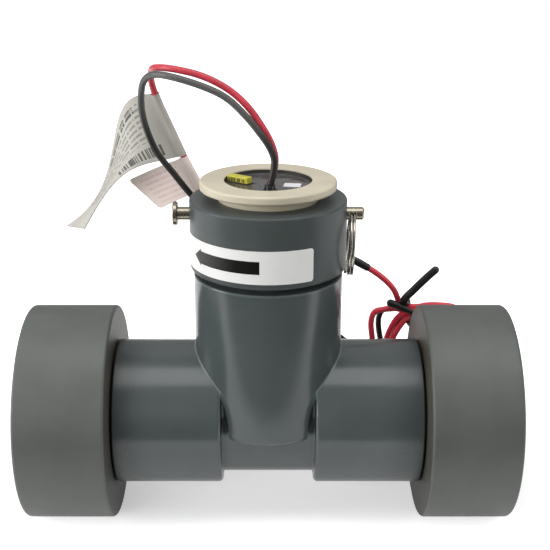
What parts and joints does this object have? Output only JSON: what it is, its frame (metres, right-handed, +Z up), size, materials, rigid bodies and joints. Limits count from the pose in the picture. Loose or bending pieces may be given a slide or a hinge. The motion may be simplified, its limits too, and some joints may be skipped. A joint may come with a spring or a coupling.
{
  "type": "irrigation flow sensor",
  "caption": "Pipe tee flow sensor with wide socket adapters, a paddle-wheel insert pinned in a branch collar, and signal leads with tags, tied in a hank.",
  "frame": {"origin": "on the floor under the middle of the tee, where the run and branch axes cross", "axes": "+X along the pipe run towards the inlet, against the arrow; +Z up the branch; +Y towards the hank of leads"},
  "size_m": [0.2426, 0.1247, 0.2301],
  "materials": {
    "tee_plastic": "satin moulded",
    "adapter_plastic": "matt turned",
    "collar_plastic": "satin turned",
    "cream_plastic": "satin moulded",
    "seal_rubber": "matt",
    "impeller_plastic": "satin moulded",
    "target_steel": "ground",
    "bush_plastic": "satin",
    "shaft_steel": "ground",
    "pin_steel": "zinc plated",
    "ring_steel": "nickel plated",
    "board_laminate": "satin",
    "coil_plastic": "satin",
    "boot_sealant": "satin",
    "potting_resin": "gloss cast",
    "label_vinyl": "satin film",
    "capacitor_plastic": "satin",
    "white_paper": "matt",
    "red_insulation": "satin",
    "black_insulation": "satin",
    "sleeve_shrink": "satin",
    "hank_insulation": "satin",
    "tie_plastic": "satin",
    "tag_paper": "matt"
  },
  "bodies": {
    "housing": {"tee_body": "tee_plastic", "inlet_adapter": "adapter_plastic", "outlet_adapter": "adapter_plastic", "sensor_collar": "collar_plastic", "sensor_insert": "cream_plastic", "upper_o_ring": "seal_rubber", "lower_o_ring": "seal_rubber", "impeller_shaft": "shaft_steel", "circuit_board": "board_laminate", "pickup_coil": "coil_plastic", "lead_boot": "boot_sealant", "potting": "potting_resin", "flow_label": "label_vinyl", "film_capacitor": "capacitor_plastic", "white_sticker": "white_paper", "red_lead": "red_insulation", "black_lead": "black_insulation", "splice_sleeve": "sleeve_shrink", "lead_hank": "hank_insulation", "twist_tie": "tie_plastic", "large_tag": "tag_paper", "small_tag": "tag_paper"},
    "impeller": {"impeller": "impeller_plastic", "impeller_bush": "bush_plastic", "impeller_targets": "target_steel"},
    "pin": {"clevis_pin": "pin_steel"},
    "ring": {"split_ring": "ring_steel"}
  },
  "joints": [
    {"name": "impeller_spin", "type": "hinge", "parent": "housing", "child": "impeller", "pos_m": [0, 0, 0.065], "axis": [0, 1, 0], "continuous": true},
    {"name": "pin_slide", "type": "slide", "parent": "housing", "child": "pin", "axis": [1, 0, 0], "range_m": [-0.0006, 0.0054]},
    {"name": "ring_swing", "type": "hinge", "parent": "pin", "child": "ring", "pos_m": [0.041, 0, 0.1593], "axis": [0, -1, 0], "range_deg": [0, 178]}
  ]
}
